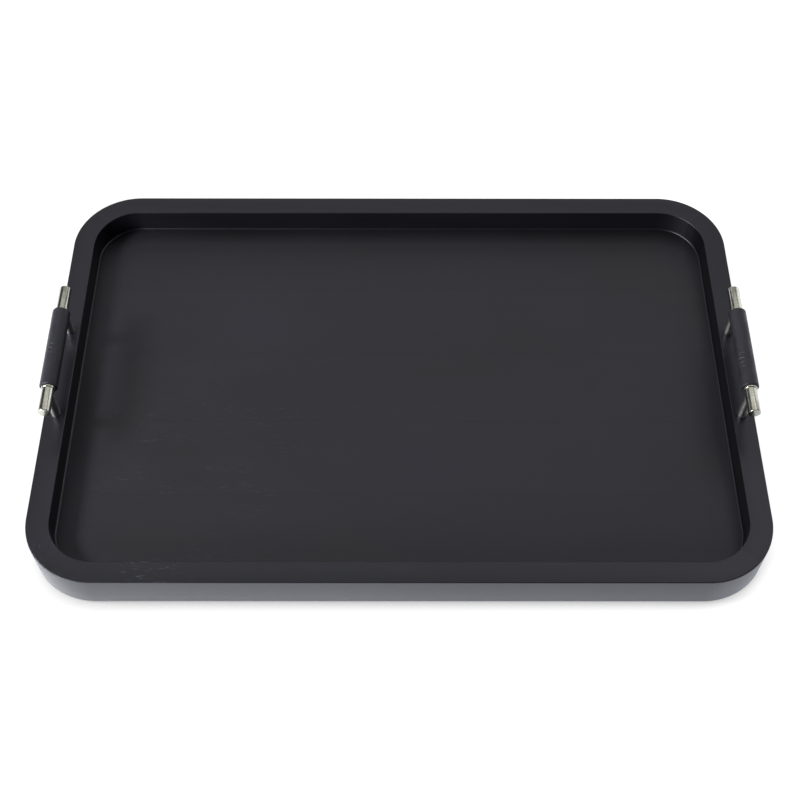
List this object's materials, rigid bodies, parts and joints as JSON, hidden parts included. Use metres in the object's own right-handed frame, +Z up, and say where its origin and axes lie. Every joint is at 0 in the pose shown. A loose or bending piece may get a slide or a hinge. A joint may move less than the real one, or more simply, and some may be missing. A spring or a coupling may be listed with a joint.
{
  "type": "serving tray",
  "caption": "Rectangular black-stained wood serving tray with round corners, a raised flat rim, and a nickel bar handle in a leather sleeve on each short side.",
  "frame": {"origin": "middle of the footprint, on the surface the tray stands on", "axes": "+X along the tray's length towards the right handle, +Y towards the back, +Z up"},
  "size_m": [0.61, 0.406, 0.0781],
  "materials": {
    "frame_wood": "black stain under satin lacquer",
    "floor_wood": "black stain under satin lacquer, faint open grain",
    "dowel_wood": "bare beech",
    "nickel": "satin nickel, brushed along its length",
    "leather": "matte black, fine grain",
    "zinc_steel": "zinc plated",
    "rubber": "matte black"
  },
  "bodies": {
    "root": {"front_rail": "frame_wood", "right_rail": "frame_wood", "back_rail": "frame_wood", "left_rail": "frame_wood", "corner_dowel_front_left_lower": "dowel_wood", "corner_dowel_front_left_upper": "dowel_wood", "corner_dowel_front_right_lower": "dowel_wood", "corner_dowel_front_right_upper": "dowel_wood", "corner_dowel_back_right_lower": "dowel_wood", "corner_dowel_back_right_upper": "dowel_wood", "corner_dowel_back_left_lower": "dowel_wood", "corner_dowel_back_left_upper": "dowel_wood", "floor_board_1": "floor_wood", "floor_board_2": "floor_wood", "floor_board_3": "floor_wood", "floor_board_4": "floor_wood", "floor_board_5": "floor_wood", "left_handle_rod": "nickel", "left_leather_sleeve": "leather", "left_handle_post_front": "nickel", "left_handle_screw_front": "zinc_steel", "left_handle_washer_front": "zinc_steel", "left_handle_post_back": "nickel", "left_handle_screw_back": "zinc_steel", "left_handle_washer_back": "zinc_steel", "right_handle_rod": "nickel", "right_leather_sleeve": "leather", "right_handle_post_front": "nickel", "right_handle_screw_front": "zinc_steel", "right_handle_washer_front": "zinc_steel", "right_handle_post_back": "nickel", "right_handle_screw_back": "zinc_steel", "right_handle_washer_back": "zinc_steel", "rubber_foot_front_left": "rubber", "rubber_foot_front_right": "rubber", "rubber_foot_back_left": "rubber", "rubber_foot_back_right": "rubber"}
  },
  "joints": []
}
